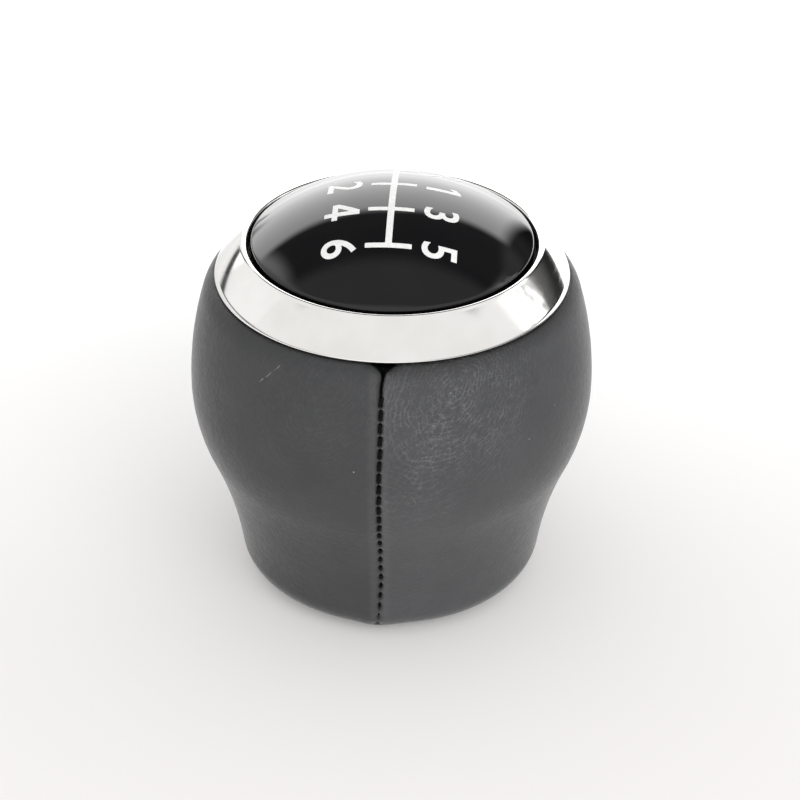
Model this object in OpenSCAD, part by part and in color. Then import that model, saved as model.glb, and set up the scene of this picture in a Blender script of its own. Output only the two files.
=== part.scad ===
// Gear shift knob: a leather-wrapped bulb with a plated trim ring and a domed gloss cap.
// Millimetres. +Z up, origin at the centre of the foot. +X is the car's forward direction and
// the top of the shift diagram, +Y is the car's left. The seams lie on -Y and +Y.

/* [Leather] */
// Distance by which the bulb stands out past the skirt, on each side
bulge = 6.2; // [5:0.1:8]
// Height of the widest point above the foot
bulb_z = 28.5; // [26:0.5:32]
// Radius of the side between the waist and the widest point
side_low_r = 23.5; // [18:0.5:30]
// Radius of the roll that takes the leather in under the trim ring
roll_r = 6; // [4.5:0.5:7]
// Angle from level of the leather where the trim ring covers it, in degrees
roll_in = 46.5; // [40:0.5:55]
// Height from the widest point to the flat on which the trim ring sits
crown_h = 15; // [13:0.5:18]
// Radius of the rounded foot
foot_r = 4.8; // [4:0.1:5.4]
// Width of the leather's flat underside between the foot's rounding and the tucked edge
foot_flat = 0.45; // [0.2:0.05:2]
// Outward lean of the skirt just above the foot, in degrees
skirt_lean = 8; // [5:0.5:11]
// Height of the leather's underside above the surface that the knob stands on
foot_lift = 0.25; // [0:0.05:0.6]
// Thickness of the leather
leather_t = 1.2; // [0.8:0.1:1.4]
// Diameter of the hole into which the leather's lower edge is tucked
tuck_d = 26.8; // [26:0.1:30]
// Height of the tucked edge above the leather's underside
tuck_h = 4; // [3:0.1:4.4]
// Width of the leather that the trim ring covers
under_ring_w = 2.4; // [2:0.1:2.5]

/* [Seams] */
// Gap between the two panels along a seam
seam_gap = 0.1; // [0.05:0.01:0.2]
// Depth of the seam allowance folded in behind the leather
fold_depth = 1.3; // [0.8:0.1:1.5]
// Thickness of one folded seam allowance
fold_t = 1; // [0.6:0.05:1.2]
// Distance of the seam allowances' ends from the core's floor and flange
fold_end = 0.6; // [0.4:0.1:3]
// Width of the channel in which the stitches lie
channel_w = 0.9; // [0.8:0.05:1.2]
// Depth of the channel in which the stitches lie
channel_depth = 0.55; // [0.45:0.05:0.8]
// Thickness of the sewing thread
thread_d = 0.5; // [0.3:0.05:0.6]
// Length of one visible stitch
stitch_l = 1.3; // [0.8:0.05:1.5]
// Distance from one stitch to the next along the seam
stitch_pitch = 1.75; // [1.6:0.05:3]
// Slant of a stitch across the seam, in degrees
stitch_slant = 12; // [0:1:12]
// Depth of the thread's centre line below the leather's surface
stitch_sink = 0.22; // [0.2:0.01:0.25]

/* [Trim ring] */
// Distance of the trim ring's edge inside the bulb's widest point
ring_inset = 3.35; // [2.8:0.05:4]
// Width of the trim ring's band, seen from above
band_w = 4.2; // [3.6:0.1:5]
// Height of the trim ring's band
band_h = 4.7; // [4:0.1:5.5]
// Radius of the sloping band's outward curve
band_r = 30; // [15:1:60]
// Radius of the trim ring's upper and lower edges
ring_edge_r = 0.3; // [0.2:0.05:0.4]
// Wall of the trim ring
ring_wall = 1.3; // [1:0.1:1.5]
// Depth of the trim ring's spigot below its seat
spigot_depth = 2.8; // [2.4:0.1:3.5]
// Clearance between the spigot and the core
spigot_clear = 0.15; // [0.05:0.01:0.2]
// Width of the core's rim inside the leather's edge
core_rim_w = 0.5; // [0.3:0.1:1]
// Height of the hollow under the sloping band
band_hollow = 1.3; // [0.8:0.1:1.4]
// Width of the key that stops the ring turning
key_w = 3; // [2:0.5:5]
// Reach of the key past the spigot
key_reach = 0.5; // [0.3:0.1:0.8]
// Number of snap legs on the trim ring
clip_count = 6; // [3:1:8]
// Width of one snap leg, in degrees round the ring
clip_span = 16; // [10:1:20]
// Reach of a snap hook past its leg
clip_reach = 0.9; // [0.5:0.05:1.1]
// Length of a snap hook's tapered nose
clip_nose = 1.9; // [1.2:0.1:2.5]
// Play between a snap hook and the edge that it catches
clip_play = 0.1; // [0.02:0.01:0.3]

/* [Cap] */
// Gap between the cap and the trim ring
cap_gap = 0.45; // [0.2:0.05:0.7]
// Height of the dome above the cap's edge
dome_rise = 6.08; // [4:0.02:8]
// Height of the cap's edge above the trim ring
cap_proud = 0.17; // [0:0.01:0.5]
// Radius of the cap's edge
cap_edge_r = 0.6; // [0.3:0.05:0.8]
// Thickness of the cap
cap_t = 2; // [1.5:0.1:2.4]
// Depth to which the cap sits in the trim ring
cap_sink = 1.6; // [1.3:0.1:2]
// Width of the cap's bonded rim
cap_rim_w = 2.4; // [1.8:0.1:3]
// Thickness of the adhesive ring
adhesive_t = 0.4; // [0.2:0.05:0.6]

/* [Shift diagram] */
// Distance between two rows of the diagram
gate_pitch = 6.7; // [6:0.1:7]
// Width of the diagram's lines
gate_line_w = 0.8; // [0.5:0.05:1.5]
// Length of the line that joins two gears of one row
gate_bar_l = 5.8; // [4:0.1:8]
// Distance from the dome's centre to the middle of the diagram
gate_shift = 0.3; // [-1:0.1:1]
// Depth of the filled lines
gate_depth = 0.15; // [0.1:0.05:0.4]

/* [Core] */
// Wall of the core halves
core_wall = 2.4; // [1.9:0.1:2.8]
// Thickness of the core's floor and web
web_t = 2; // [1.5:0.1:2.4]
// Gap between the collar's rim and the core's floor
floor_gap = 0.4; // [0.2:0.1:1]
// Thickness of the flange that the trim ring snaps under
flange_t = 2.4; // [1.8:0.1:2.8]
// Wall of the boss round the threaded insert
boss_wall = 1.6; // [1.2:0.1:2]
// Thickness of the stiffening ribs
rib_t = 1.6; // [1:0.1:2]
// Number of stiffening ribs in the lower half
rib_count = 6; // [3:3:6]
// Height of the stiffening ribs above the core's floor
rib_h = 13; // [6:0.5:17]
// Width of the tongue between the core halves
tongue_w = 0.9; // [0.6:0.05:1.1]
// Height of the tongue between the core halves
tongue_h = 1.6; // [1:0.1:2.5]
// Clearance round the tongue
tongue_clear = 0.1; // [0.05:0.01:0.2]

/* [Insert] */
// Outside diameter of the threaded insert
insert_d = 14; // [13.4:0.1:14.4]
// Thickness of the boss's closed end above the insert
boss_end_t = 2.3; // [1.5:0.1:5]
// Bore of the thread, at its minor diameter
thread_bore_d = 10.65; // [8.5:0.05:11]
// Thickness of the insert's closed end
insert_end_t = 2; // [1:0.1:5]
// Chamfer at the mouth of the threaded hole
thread_lead = 0.6; // [0.3:0.1:1]
// Depth of the grooves that key the insert into the boss
key_groove = 0.6; // [0.3:0.05:0.8]
// Width of the grooves that key the insert into the boss
key_groove_w = 2; // [1:0.1:3]

/* [Screws] */
// Distance of the screws from the centre line
screw_orbit = 13.6; // [13:0.1:14]
// Number of screws
screw_count = 3; // [3:1:3]
// Diameter of the screw shank
screw_d = 3; // [2.5:0.1:3.2]
// Root diameter of the screw thread, which is also the pilot hole
screw_root_d = 2.4; // [2:0.1:2.4]
// Length of the screw under its head
screw_l = 10; // [8:0.5:14]
// Diameter of the screw head
screw_head_d = 5.6; // [5:0.1:6]
// Height of the screw head
screw_head_h = 1.9; // [1.5:0.1:2.4]
// Clearance round the shank in the web
screw_clear = 0.2; // [0.1:0.05:0.4]
// Diameter of the pillar that takes a screw
pillar_d = 6.2; // [5.4:0.1:6.6]

/* [Base collar] */
// Bore of the collar, through which the lever passes
collar_bore_d = 14.4; // [13:0.1:15]
// Height of the collar's rim
collar_h = 4.8; // [4.3:0.1:5.5]
// Thickness of the collar's plate
collar_plate_t = 1.5; // [1.2:0.1:2]
// Wall of the collar's rim and tube
collar_wall = 1.3; // [1:0.1:1.5]
// Gap between the collar and the tucked leather
collar_gap = 0.05; // [0.02:0.01:0.15]
// Width of the ring on which the knob stands
foot_w = 2.6; // [1.5:0.1:3]
// Depth of the recess inside the collar's foot
foot_recess = 0.5; // [0.2:0.1:0.8]
// Number of snap legs on the collar
leg_count = 3; // [3:1:3]
// Gap between the insert's boss and the collar's snap legs
leg_gap = 0.8; // [0.4:0.05:1]
// Thickness of a snap leg of the collar
leg_t = 1.1; // [0.9:0.05:1.2]
// Width of a snap leg of the collar, in degrees round it
leg_span = 26; // [16:1:30]
// Clearance round a snap leg in the core's floor
leg_clear = 0.2; // [0.1:0.05:0.3]
// Reach of the collar's hooks past their legs
leg_reach = 0.7; // [0.4:0.05:0.8]

/* [Hidden] */
$fn = 128;
big = 120;

// The leather's outline is a chain of arcs that meet smoothly, from the foot up to the ring.
// Each arc is [centre, radius, first angle, last angle, side], where side is 1 for an arc that
// bulges outwards and -1 for the hollow of the waist, so one offset moves the whole skin.
tuck_r = tuck_d / 2;
foot_c = [tuck_r + leather_t + foot_flat, foot_lift + foot_r];
skirt_n = [cos(skirt_lean), -sin(skirt_lean)];
skirt_p = foot_c + foot_r * skirt_n;
bulb_r = skirt_p[0] + bulge;
ring_r = bulb_r - ring_inset;
shoulder_z = bulb_z + crown_h;
low_c = [bulb_r - side_low_r, bulb_z];
waist_v = skirt_p - low_c;
waist_r = (waist_v * waist_v - pow(side_low_r, 2)) / (2 * (side_low_r - waist_v * skirt_n));
waist_c = skirt_p + waist_r * skirt_n;
waist_a = atan2(low_c[1] - waist_c[1], low_c[0] - waist_c[0]);
roll_c = [ring_r - roll_r * cos(roll_in), shoulder_z - roll_r * sin(roll_in)];
high_v = roll_c - [bulb_r, bulb_z];
side_high_r = (pow(roll_r, 2) - high_v * high_v) / (2 * (high_v[0] + roll_r));
high_c = [bulb_r - side_high_r, bulb_z];
roll_a = atan2(roll_c[1] - high_c[1], roll_c[0] - high_c[0]);

FOOT = 0;
SKIRT = FOOT + 1;
LOW = SKIRT + 1;
HIGH = LOW + 1;
ROLL = HIGH + 1;
SKIN = [
  [foot_c, foot_r, -90, -skirt_lean, 1],
  [waist_c, waist_r, 180 - skirt_lean, waist_a, -1],
  [low_c, side_low_r, waist_a - 180, 0, 1],
  [high_c, side_high_r, 0, roll_a, 1],
  [roll_c, roll_r, roll_a, roll_in, 1]
];
ARC_STEPS = [8, 10, 7, 8, 5];

// The roll ends where it reaches the shoulder's level, which an offset moves too.
function roll_end(off) = asin((shoulder_z + off - roll_c[1]) / (roll_r + off));
function arc_end(i, off) = i == ROLL ? roll_end(off) : SKIN[i][3];
function on_arc(i, angle, off) =
  SKIN[i][0] + (SKIN[i][1] + SKIN[i][4] * off) * [cos(angle), sin(angle)];
function arc_line(i, off, first, last) =
  [for (k = [0:ARC_STEPS[i]]) on_arc(i, first + (last - first) * k / ARC_STEPS[i], off)];
function skin_arc(i, off) = arc_line(i, off, SKIN[i][2], arc_end(i, off));
function without_last(line) = [for (k = [0:len(line) - 2]) line[k]];
function backwards(line) = [for (k = [len(line) - 1:-1:0]) line[k]];
function skin_line(first, last, off) =
  first == last ? skin_arc(first, off)
                : concat(without_last(skin_arc(first, off)), skin_line(first + 1, last, off));
function skin_band(first, last, outer, inner) =
  concat(skin_line(first, last, outer), backwards(skin_line(first, last, inner)));

// A point on the seam at a distance along it from the middle of the foot's rounding.
function arc_length(i) = SKIN[i][1] * abs(SKIN[i][3] - SKIN[i][2]) * PI / 180;
function seam_point(along, i = FOOT) =
  along <= arc_length(i) || i == ROLL
    ? let (a = SKIN[i][2] + (SKIN[i][3] - SKIN[i][2]) * along / arc_length(i))
      [on_arc(i, a, -stitch_sink), a, SKIN[i][4]]
    : seam_point(along - arc_length(i), i + 1);

// Leather and core
core_off = -leather_t;
core_in_off = -leather_t - core_wall;
leather_in_r = ring_r - under_ring_w;
bend_r = tuck_r + leather_t;
bend_z = foot_lift + leather_t;
tuck_top = foot_lift + tuck_h;
core_top = shoulder_z - leather_t;
flange_z = core_top - flange_t;
bulb_core_r = bulb_r - leather_t;
floor_z = collar_h + floor_gap;
floor_top = floor_z + web_t;
floor_r = skirt_p[0] - leather_t - core_wall / 2;
fold_slot = fold_t + seam_gap;
fold_low_z = floor_z + fold_end;
fold_high_z = flange_z - fold_end;

// Trim ring and cap
core_bore_r = leather_in_r - core_rim_w;
spigot_r = core_bore_r - spigot_clear;
spigot_in_r = spigot_r - ring_wall;
spigot_z = shoulder_z - spigot_depth;
ring_in_r = ring_r - band_w;
ring_top_z = shoulder_z + band_h;
cap_r = ring_in_r - cap_gap;
cap_rim_r = cap_r - cap_rim_w;
cap_base_z = ring_top_z - cap_sink;
dome_r = (pow(cap_r, 2) + pow(dome_rise, 2)) / (2 * dome_rise);
dome_top_z = ring_top_z + cap_proud + dome_rise;
dome_c = [0, dome_top_z - dome_r];
ledge_z = cap_base_z - adhesive_t;

// Insert and screws
insert_r = insert_d / 2;
boss_r = insert_r + boss_wall;
insert_top = bulb_z - boss_end_t;
insert_l = insert_top - floor_z;
thread_depth = insert_l - insert_end_t;
wall_mid_r = bulb_core_r - core_wall / 2;
screw_head_z = bulb_z + web_t;
screw_tip_z = screw_head_z - screw_l;
pilot_run = 1.5;

// Base collar
collar_r = tuck_r - collar_gap;
collar_in_r = collar_bore_d / 2;
leg_in_r = boss_r + leg_gap;
leg_out_r = leg_in_r + leg_t;
hook_z = floor_top + clip_play;
collar_edge = 0.4;

// A sector of a turned shape, centred on one direction.
module sector(direction, span) {
  rotate([0, 0, direction - span / 2]) rotate_extrude(angle = span) children();
}

// The strip of space beside a seam plane, from one x to another.
module seam_slab(from_x, to_x) {
  translate([from_x, -big / 2, -1]) cube([to_x - from_x, big, big]);
}

module leather_section() {
  polygon(concat(
    [[tuck_r, tuck_top]],
    [for (a = [180:15:270]) [bend_r, bend_z] + leather_t * [cos(a), sin(a)]],
    skin_line(FOOT, ROLL, 0),
    [[leather_in_r, shoulder_z], [leather_in_r, core_top]],
    backwards(skin_line(FOOT, ROLL, core_off)),
    [[bend_r, bend_z], [bend_r, tuck_top]]));
}

// The space of the seam allowances behind the leather, from one x to another.
module fold_space(outer, from_x, to_x) {
  intersection() {
    rotate_extrude() polygon(skin_band(SKIRT, HIGH, outer, core_off - fold_depth));
    translate([from_x, -big / 2, fold_low_z]) cube([to_x - from_x, big, fold_high_z - fold_low_z]);
  }
}

// One leather panel, on the +X side: a half of the turned skin, with its seam allowances folded
// in behind it and the stitch channel let into its edges.
module leather_panel() {
  difference() {
    union() {
      intersection() {
        rotate_extrude() leather_section();
        seam_slab(seam_gap / 2, big);
      }
      fold_space(core_off / 2, seam_gap / 2, seam_gap / 2 + fold_t);
    }
    intersection() {
      rotate_extrude() polygon(skin_band(FOOT, ROLL, 1, -channel_depth));
      seam_slab(-channel_w / 2, channel_w / 2);
    }
  }
}

module leather_front() {
  color("#565759") leather_panel();
}

module leather_rear() {
  color("#535456") rotate([0, 0, 180]) leather_panel();
}

// One stitch, along Z: a short length of thread with tapered ends that go into the leather.
module stitch() {
  half = stitch_l / 2;
  r = thread_d / 2;
  rotate_extrude($fn = 24)
    polygon([[0, -half], [r, -half * 0.55], [r, half * 0.55], [0, half]]);
}

seam_first = arc_length(FOOT) * 0.35;
seam_last = arc_length(FOOT) + arc_length(SKIRT) + arc_length(LOW) + arc_length(HIGH) * 0.96;

module seam_thread() {
  for (along = [seam_first:stitch_pitch:seam_last]) {
    p = seam_point(along);
    lean = p[2] > 0 ? -p[1] : 180 - p[1];
    translate([0, -p[0][0], p[0][1]]) rotate([lean, 0, 0]) rotate([0, stitch_slant, 0]) stitch();
  }
}

module seam_thread_right() {
  color("#151517") seam_thread();
}

module seam_thread_left() {
  color("#151517") rotate([0, 0, 180]) seam_thread();
}

// The groove in a core half that takes the seam allowances.
module fold_groove() {
  fold_space(1, -fold_slot, fold_slot);
}

// The insert's outside, which the boss is moulded round.
function insert_line() = [
  [insert_r, floor_z],
  [insert_r, floor_z + insert_l * 0.2],
  [insert_r - key_groove, floor_z + insert_l * 0.2 + key_groove],
  [insert_r - key_groove, floor_z + insert_l * 0.2 + key_groove_w],
  [insert_r, floor_z + insert_l * 0.2 + key_groove_w + key_groove],
  [insert_r, insert_top - insert_l * 0.2 - key_groove_w - key_groove],
  [insert_r - key_groove, insert_top - insert_l * 0.2 - key_groove_w],
  [insert_r - key_groove, insert_top - insert_l * 0.2 - key_groove],
  [insert_r, insert_top - insert_l * 0.2],
  [insert_r, insert_top]
];

module threaded_insert() {
  bore_r = thread_bore_d / 2;
  color("#b8954a") rotate_extrude() polygon(concat(
    [[bore_r + thread_lead, floor_z]],
    insert_line(),
    [[0, insert_top], [0, floor_z + thread_depth],
     [bore_r, floor_z + thread_depth], [bore_r, floor_z + thread_lead]]));
}

module lower_shell_section() {
  inner_line = skin_line(SKIRT, LOW, core_in_off);
  polygon(concat(
    [[bend_r, floor_top - 0.1], [bend_r, bend_z]],
    skin_line(FOOT, LOW, core_off),
    backwards(inner_line)));
  polygon(concat(
    [[insert_r, floor_z], [bend_r + 0.5, floor_z], [bend_r + 0.5, bend_z + 1],
     [floor_r, bend_z + 1], [floor_r, floor_top], [boss_r, floor_top],
     [boss_r, bulb_z], [0, bulb_z], [0, insert_top]],
    backwards(insert_line())));
}

module lower_ribs() {
  intersection() {
    rotate_extrude()
      polygon(concat([[boss_r - 0.5, bulb_z], [boss_r - 0.5, floor_top - 0.5]],
                     skin_line(SKIRT, LOW, core_in_off + core_wall / 2)));
    translate([0, 0, floor_top - 0.4]) union() {
      for (k = [0:rib_count - 1])
        rotate([0, 0, k * 360 / rib_count]) translate([0, -rib_t / 2, 0]) cube([big, rib_t, rib_h + 0.4]);
      for (k = [0:screw_count - 1])
        rotate([0, 0, screw_angle(k)])
          translate([screw_orbit, -rib_t / 2, 0]) cube([big, rib_t, bulb_z - floor_top - tongue_h]);
    }
  }
}

function screw_angle(k) = 30 + k * 360 / screw_count;
function leg_angle(k) = 90 + k * 360 / leg_count;
function clip_angle(k) = (k + 0.5) * 360 / clip_count;

module core_lower() {
  color("#2b2c2e") difference() {
    union() {
      rotate_extrude() lower_shell_section();
      lower_ribs();
      for (k = [0:screw_count - 1])
        rotate([0, 0, screw_angle(k)]) translate([screw_orbit, 0, floor_top - 0.5])
          cylinder(d = pillar_d, h = bulb_z - floor_top + 0.5);
    }
    for (k = [0:screw_count - 1])
      rotate([0, 0, screw_angle(k)]) translate([screw_orbit, 0, screw_tip_z - pilot_run])
        cylinder(d = screw_root_d, h = big, $fn = 32);
    for (k = [0:leg_count - 1])
      sector(leg_angle(k), leg_span + 2)
        translate([leg_in_r - leg_clear, floor_z - 1])
          square([leg_t + leg_reach + 2 * leg_clear, web_t + 2]);
    rotate_extrude()
      translate([wall_mid_r - tongue_w / 2 - tongue_clear, bulb_z - tongue_h - tongue_clear])
        square([tongue_w + 2 * tongue_clear, big]);
    fold_groove();
  }
}

module upper_shell_section() {
  inner_end = asin((flange_z - bulb_z) / (side_high_r + core_in_off));
  polygon(concat(
    skin_line(HIGH, ROLL, core_off),
    [[core_bore_r, core_top], [core_bore_r, flange_z]],
    backwards(arc_line(HIGH, core_in_off, 0, inner_end))));
  translate([0, bulb_z]) square([wall_mid_r, web_t]);
  translate([wall_mid_r - tongue_w / 2, bulb_z - tongue_h]) square([tongue_w, tongue_h + web_t / 2]);
}

module upper_gussets() {
  gusset_h = 4.5;
  gusset_in_r = wall_mid_r - gusset_h - core_wall / 2;
  intersection() {
    rotate_extrude()
      polygon([[gusset_in_r, bulb_z + 0.5], [wall_mid_r, bulb_z + 0.5],
               [wall_mid_r, bulb_z + web_t + gusset_h], [wall_mid_r - core_wall, bulb_z + web_t + gusset_h],
               [gusset_in_r, bulb_z + web_t]]);
    union() {
      for (k = [0:rib_count - 1])
        rotate([0, 0, k * 360 / rib_count]) translate([0, -rib_t / 2, 0]) cube([big, rib_t, big]);
    }
  }
}

module core_upper() {
  color("#2f3032") difference() {
    union() {
      rotate_extrude() upper_shell_section();
      upper_gussets();
    }
    for (k = [0:screw_count - 1])
      rotate([0, 0, screw_angle(k)]) translate([screw_orbit, 0, bulb_z - 1])
        cylinder(d = screw_d + 2 * screw_clear, h = web_t + 2, $fn = 32);
    translate([0, -key_w / 2 - spigot_clear, flange_z - 1])
      cube([core_bore_r + key_reach, key_w + 2 * spigot_clear, flange_t + 2]);
    fold_groove();
  }
}

module core_screws() {
  slot_w = 0.7;
  color("#9a9da1") for (k = [0:screw_count - 1])
    rotate([0, 0, screw_angle(k)]) translate([screw_orbit, 0, 0]) difference() {
      rotate_extrude($fn = 48) polygon([
        [0, screw_tip_z], [screw_root_d * 0.2, screw_tip_z], [screw_root_d / 2, screw_tip_z + 1.5],
        [screw_root_d / 2, bulb_z], [screw_d / 2, bulb_z], [screw_d / 2, screw_head_z],
        [screw_head_d / 2, screw_head_z], [screw_head_d / 2, screw_head_z + screw_head_h * 0.4],
        [screw_head_d * 0.32, screw_head_z + screw_head_h], [0, screw_head_z + screw_head_h]]);
      for (turn = [0, 90])
        rotate([0, 0, turn])
          translate([-screw_head_d * 0.28, -slot_w / 2, screw_head_z + screw_head_h * 0.35])
            cube([screw_head_d * 0.56, slot_w, screw_head_h]);
    }
}

// The ring's section through a snap leg. The band bulges a little, and its underside is cored
// out between the lip that presses on the leather and the spigot inside the core.
module ring_section() {
  low = [ring_r - ring_edge_r * 0.3, shoulder_z + ring_edge_r * 2];
  high = [ring_in_r + ring_edge_r * 1.5, ring_top_z - ring_edge_r * 0.4];
  chord = high - low;
  span = norm(chord);
  half_turn = asin(span / 2 / band_r);
  mid_c = (low + high) / 2 - [chord[1], -chord[0]] / span * band_r * cos(half_turn);
  first = atan2(low[1] - mid_c[1], low[0] - mid_c[0]);
  cavity_top = shoulder_z + band_hollow;
  hook_top = flange_z - clip_play;
  leg_tip = hook_top - clip_nose;
  difference() {
    polygon(concat(
      [[ring_r - ring_edge_r, shoulder_z], [ring_r, shoulder_z + ring_edge_r]],
      [for (k = [0:10]) mid_c + band_r * [cos(first + 2 * half_turn * k / 10), sin(first + 2 * half_turn * k / 10)]],
      [[ring_in_r + ring_edge_r * 0.8, ring_top_z], [ring_in_r + ring_edge_r * 0.3, ring_top_z - ring_edge_r * 0.25],
       [ring_in_r, ring_top_z - ring_edge_r],
       [ring_in_r, ledge_z], [cap_rim_r, ledge_z], [cap_rim_r, ledge_z - ring_wall],
       [spigot_in_r, ledge_z - ring_wall], [spigot_in_r, leg_tip], [spigot_r - 0.2, leg_tip],
       [spigot_r + clip_reach, hook_top - 0.5], [spigot_r + clip_reach, hook_top],
       [spigot_r, hook_top], [spigot_r, shoulder_z]]));
    polygon([[spigot_r, shoulder_z - 1], [spigot_r, cavity_top], [spigot_r + 0.5, cavity_top],
             [ring_r - ring_wall, shoulder_z + 0.4], [ring_r - ring_wall, shoulder_z - 1]]);
  }
}

// The spigot runs down as a full skirt with a hook all round, and slots leave the snap legs.
module chrome_ring() {
  slot_span = 360 / clip_count - clip_span;
  color("#dfe1e3") difference() {
    union() {
      rotate_extrude() ring_section();
      translate([spigot_r - ring_wall / 2, -key_w / 2, spigot_z])
        cube([ring_wall / 2 + key_reach, key_w, core_top - spigot_z]);
    }
    for (k = [0:clip_count - 1])
      sector(clip_angle(k) + 180 / clip_count, slot_span)
        translate([spigot_in_r - 1, 0]) square([ring_wall + clip_reach + 2, spigot_z]);
  }
}

module cap_adhesive() {
  color("#e8e6df") rotate_extrude()
    translate([cap_rim_r + 0.1, ledge_z]) square([cap_rim_w - 0.3, adhesive_t]);
}

// The dome with its rounded edge. The edge's last flat runs out past the sphere, which trims it.
module cap_section() {
  edge_c = [cap_r - cap_edge_r,
            dome_c[1] + sqrt(pow(dome_r - cap_edge_r, 2) - pow(cap_r - cap_edge_r, 2))];
  last = edge_c + cap_edge_r * [cos(45), sin(45)];
  clear_run = dome_top_z - last[1] + 1;
  difference() {
    intersection() {
      polygon(concat(
        [[0, cap_base_z], [cap_r, cap_base_z]],
        [for (a = [0:15:45]) edge_c + cap_edge_r * [cos(a), sin(a)]],
        [last + [-clear_run, clear_run], [0, dome_top_z + 1]]));
      translate(dome_c) circle(r = dome_r, $fn = 360);
    }
    intersection() {
      translate([-1, cap_base_z - 1]) square([cap_rim_r + 1, big]);
      translate(dome_c) circle(r = dome_r - cap_t, $fn = 360);
    }
  }
}

// The lines of the diagram, seen from above: four rows across the car, the last one reverse.
module gate_lines() {
  row = [for (k = [-1.5:1:1.5]) gate_shift + k * gate_pitch];
  translate([-gate_line_w / 2, row[0] - gate_line_w / 2])
    square([gate_line_w, 3 * gate_pitch + gate_line_w]);
  for (k = [0:2])
    translate([-gate_bar_l / 2, row[k] - gate_line_w / 2]) square([gate_bar_l, gate_line_w]);
  translate([0, row[3] - gate_line_w / 2]) square([gate_bar_l / 2, gate_line_w]);
}

module gate_fill(top_r) {
  difference() {
    intersection() {
      translate([0, 0, dome_c[1]]) sphere(r = top_r, $fn = 360);
      translate([0, 0, cap_base_z + 2]) linear_extrude(big) gate_lines();
    }
    translate([0, 0, dome_c[1]]) sphere(r = dome_r - gate_depth, $fn = 360);
  }
}

module dome_cap() {
  color("#0c0c0e") difference() {
    rotate_extrude($fn = 180) cap_section();
    gate_fill(dome_r + 1);
  }
}

module gate_pattern() {
  color("#f2f2f2") gate_fill(dome_r);
}

module collar_section() {
  tube_r = collar_in_r + collar_wall;
  foot_in_r = collar_r - collar_edge - foot_w - foot_recess;
  polygon([
    [collar_in_r, foot_recess], [foot_in_r, foot_recess], [foot_in_r + foot_recess, 0],
    [collar_r - collar_edge, 0], [collar_r, collar_edge], [collar_r, collar_h - collar_edge],
    [collar_r - collar_edge, collar_h],
    [collar_r - collar_wall, collar_h], [collar_r - collar_wall, collar_plate_t],
    [tube_r, collar_plate_t], [tube_r, collar_h], [collar_in_r, collar_h]]);
}

module base_collar() {
  color("#1f2022") union() {
    rotate_extrude() collar_section();
    for (k = [0:leg_count - 1])
      sector(leg_angle(k), leg_span) polygon([
        [leg_in_r, collar_plate_t - 0.5], [leg_out_r, collar_plate_t - 0.5], [leg_out_r, hook_z],
        [leg_out_r + leg_reach, hook_z], [leg_out_r + leg_reach, hook_z + 0.4],
        [leg_out_r - 0.2, hook_z + 1.8], [leg_in_r, hook_z + 1.8]]);
  }
}

base_collar();
core_lower();
threaded_insert();
core_upper();
core_screws();
leather_front();
leather_rear();
seam_thread_right();
seam_thread_left();
chrome_ring();
cap_adhesive();
dome_cap();
gate_pattern();
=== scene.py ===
from math import acos, atan2, cos, degrees, exp, hypot, pi, radians, sin, sqrt, tau

import bmesh
import bpy
from mathutils import Matrix, Quaternion, Vector


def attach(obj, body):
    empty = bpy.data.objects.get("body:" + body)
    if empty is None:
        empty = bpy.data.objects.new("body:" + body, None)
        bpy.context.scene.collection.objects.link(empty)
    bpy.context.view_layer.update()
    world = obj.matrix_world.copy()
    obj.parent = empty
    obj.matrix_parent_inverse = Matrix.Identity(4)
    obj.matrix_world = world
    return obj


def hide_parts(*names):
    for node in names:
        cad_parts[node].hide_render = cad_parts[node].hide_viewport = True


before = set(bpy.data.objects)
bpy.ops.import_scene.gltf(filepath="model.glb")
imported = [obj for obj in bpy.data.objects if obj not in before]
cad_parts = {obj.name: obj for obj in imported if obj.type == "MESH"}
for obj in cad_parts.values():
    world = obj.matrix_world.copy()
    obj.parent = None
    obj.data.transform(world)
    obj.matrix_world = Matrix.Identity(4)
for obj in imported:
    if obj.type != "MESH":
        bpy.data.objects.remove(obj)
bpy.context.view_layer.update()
MM = 0.001


# The camera looks at the right-hand seam from 32 degrees above the table, a little to the
# car's front of it, through a long lens 400 mm away, and leans by half a degree.
view_azimuth = radians(3.4)
view_elevation = radians(32.07)
view_distance = 400 * MM
view_roll = radians(0.48)
aim_height = 24.2 * MM
aim_right = 1.13 * MM

toward_camera = Vector((sin(view_azimuth) * cos(view_elevation),
                        -cos(view_azimuth) * cos(view_elevation), sin(view_elevation)))
view_right = Vector((cos(view_azimuth), sin(view_azimuth), 0))
aim = Vector((0, 0, aim_height)) + view_right * aim_right
lens = bpy.data.cameras.new("photo_camera")
lens.lens = 137.5
lens.sensor_width = 36
camera = bpy.data.objects.new("photo_camera", lens)
camera.location = aim + toward_camera * view_distance
turn = toward_camera.to_track_quat("Z", "Y") @ Quaternion((0, 0, 1), view_roll)
camera.rotation_euler = turn.to_euler()
bpy.context.scene.collection.objects.link(camera)
bpy.context.scene.camera = camera


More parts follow.
